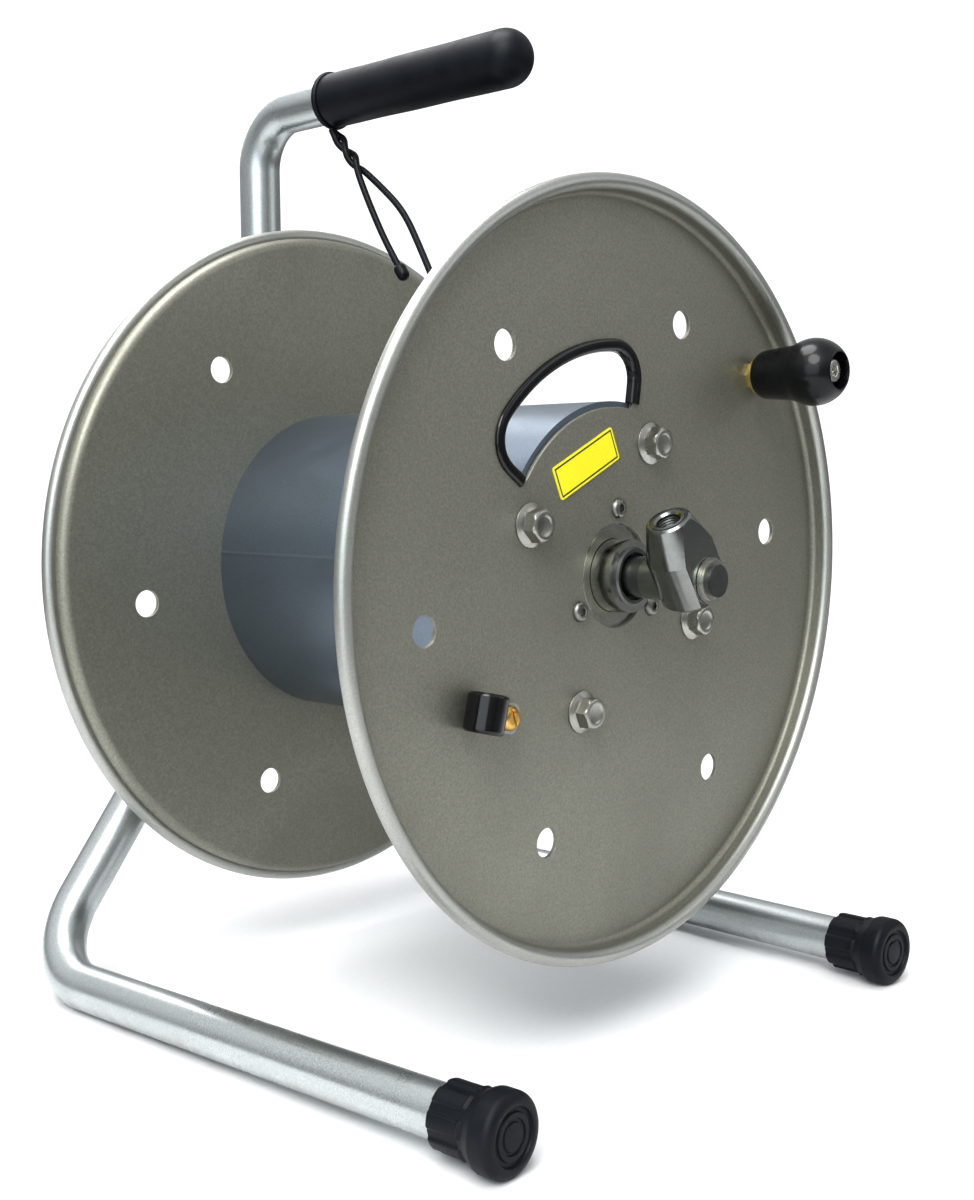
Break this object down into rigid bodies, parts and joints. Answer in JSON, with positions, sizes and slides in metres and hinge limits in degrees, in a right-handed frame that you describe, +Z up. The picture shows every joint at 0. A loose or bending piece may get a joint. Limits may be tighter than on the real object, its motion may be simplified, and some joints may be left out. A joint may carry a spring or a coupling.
{
  "type": "hose reel",
  "caption": "Portable hose reel: steel drum between two rimmed flanges, knob crank, swivel outlet, bent tube stand with carrying handle.",
  "frame": {"origin": "on the floor, at the middle of the footprint: below the axle, halfway between the foot caps' front faces and the inlet's rear end", "axes": "+Z up; +Y to the rear along the axle; +X to the right seen from the swivel and crank side"},
  "size_m": [0.4, 0.4041, 0.5338],
  "materials": {
    "flange_sheet": "satin, rolled bright edge",
    "drum_sheet": "satin",
    "stand_tube": "satin, drawn tube",
    "zinc": "bright zinc plate",
    "yellow_zinc": "yellow zinc plate",
    "brass": "bright, slightly worn",
    "bearing_steel": "ground and polished",
    "dark_steel": "blackened, turned",
    "polished_steel": "turned and polished",
    "black_rubber": "satin",
    "knob_plastic": "moulded, satin gloss",
    "black_vinyl": "glossy",
    "label_yellow": "printed film, blank",
    "tie_cord": "satin"
  },
  "bodies": {
    "stand": {"axle": "dark_steel", "axle_boss": "stand_tube", "handle_tube": "stand_tube", "left_leg_tube": "stand_tube", "right_leg_tube": "stand_tube", "handle_grip": "black_rubber", "left_foot_cap": "black_rubber", "right_foot_cap": "black_rubber", "inlet_adapter": "brass", "front_bearing_inner_ring": "bearing_steel", "rear_bearing_inner_ring": "bearing_steel", "front_set_screws": "dark_steel", "rear_set_screws": "dark_steel", "swivel_stem": "dark_steel", "swivel_thrust_washer": "zinc", "swivel_retaining_ring": "zinc", "tie_loop": "tie_cord", "tie_strand_short": "tie_cord", "tie_tip_short": "tie_cord", "tie_strand_long": "tie_cord", "tie_tip_long": "tie_cord"},
    "drum": {"front_flange": "flange_sheet", "rear_flange": "flange_sheet", "drum_shell": "drum_sheet", "front_end_ring": "drum_sheet", "front_flange_bolts": "zinc", "front_weld_nuts": "zinc", "front_hub_screws": "zinc", "front_bearing_housing": "drum_sheet", "front_bearing_outer_ring": "bearing_steel", "front_bearing_seals": "black_rubber", "rear_end_ring": "drum_sheet", "rear_flange_bolts": "zinc", "rear_weld_nuts": "zinc", "rear_hub_screws": "zinc", "rear_bearing_housing": "drum_sheet", "rear_bearing_outer_ring": "bearing_steel", "rear_bearing_seals": "black_rubber", "hose_slot_trim": "black_rubber", "hose_clip_screw": "brass", "hose_clip_strap": "zinc", "hose_clip_nut": "zinc", "knob_bolt": "zinc", "knob_lock_nut": "zinc", "label_plate": "label_yellow", "hose_clip_cushion": "black_vinyl", "knob_jam_washer": "yellow_zinc", "knob_jam_nut": "yellow_zinc"},
    "swivel": {"swivel_body": "polished_steel", "swivel_seals": "black_rubber"},
    "crank_knob": {"crank_knob": "knob_plastic"},
    "front_ball_set": {"front_bearing_balls": "bearing_steel", "front_bearing_cage": "bearing_steel"},
    "rear_ball_set": {"rear_bearing_balls": "bearing_steel", "rear_bearing_cage": "bearing_steel"}
  },
  "joints": [
    {"name": "drum_spin", "type": "hinge", "parent": "stand", "child": "drum", "pos_m": [0, -0.01725, 0.242], "axis": [0, 1, 0], "continuous": true},
    {"name": "swivel_spin", "type": "hinge", "parent": "stand", "child": "swivel", "pos_m": [0, -0.17245, 0.242], "axis": [0, 1, 0], "continuous": true},
    {"name": "knob_spin", "type": "hinge", "parent": "drum", "child": "crank_knob", "pos_m": [0.1235, -0.15395, 0.348], "axis": [0, 1, 0], "continuous": true},
    {"name": "front_ball_orbit", "type": "hinge", "parent": "stand", "child": "front_ball_set", "pos_m": [0, -0.11795, 0.242], "axis": [0, 1, 0], "continuous": true},
    {"name": "rear_ball_orbit", "type": "hinge", "parent": "stand", "child": "rear_ball_set", "pos_m": [0, 0.08345, 0.242], "axis": [0, 1, 0], "continuous": true}
  ],
  "couplings": [
    {"joint": "front_ball_orbit", "follows": "drum_spin", "ratio": 0.5839},
    {"joint": "rear_ball_orbit", "follows": "drum_spin", "ratio": 0.5839}
  ]
}
